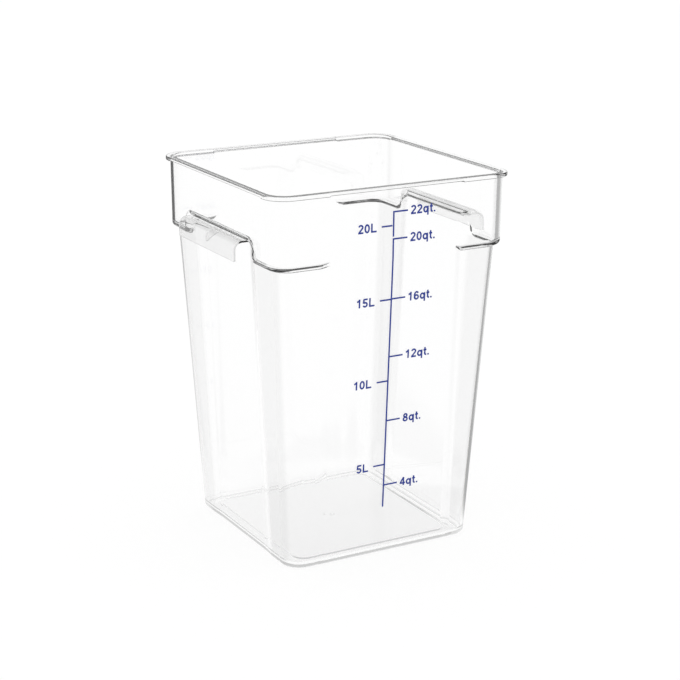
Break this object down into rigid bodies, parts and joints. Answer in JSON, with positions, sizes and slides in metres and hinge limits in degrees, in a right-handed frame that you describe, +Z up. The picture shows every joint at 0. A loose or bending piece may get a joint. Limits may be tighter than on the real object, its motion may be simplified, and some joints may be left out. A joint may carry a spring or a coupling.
{
  "type": "square food storage tub",
  "caption": "Tall, clear, open-topped square tub with a flanged rim, a stepped collar for stacking, hooded side grips and a printed capacity scale on the front.",
  "frame": {"origin": "middle of the tub on the plane that it stands on", "axes": "+Z up, out of the tub's mouth; +X from one grip to the other; -Y out of the face with the printed scale"},
  "size_m": [0.2982, 0.269, 0.4],
  "materials": {
    "clear_plastic": "clear and glossy",
    "blue_ink": "satin print"
  },
  "bodies": {
    "root": {"tub": "clear_plastic", "scale_line_lower": "blue_ink", "scale_line_upper": "blue_ink", "quart_mark_22": "blue_ink", "quart_mark_20": "blue_ink", "quart_mark_16": "blue_ink", "quart_mark_12": "blue_ink", "quart_mark_8": "blue_ink", "quart_mark_4": "blue_ink", "litre_mark_20": "blue_ink", "litre_mark_15": "blue_ink", "litre_mark_10": "blue_ink", "litre_mark_5": "blue_ink"}
  },
  "joints": []
}
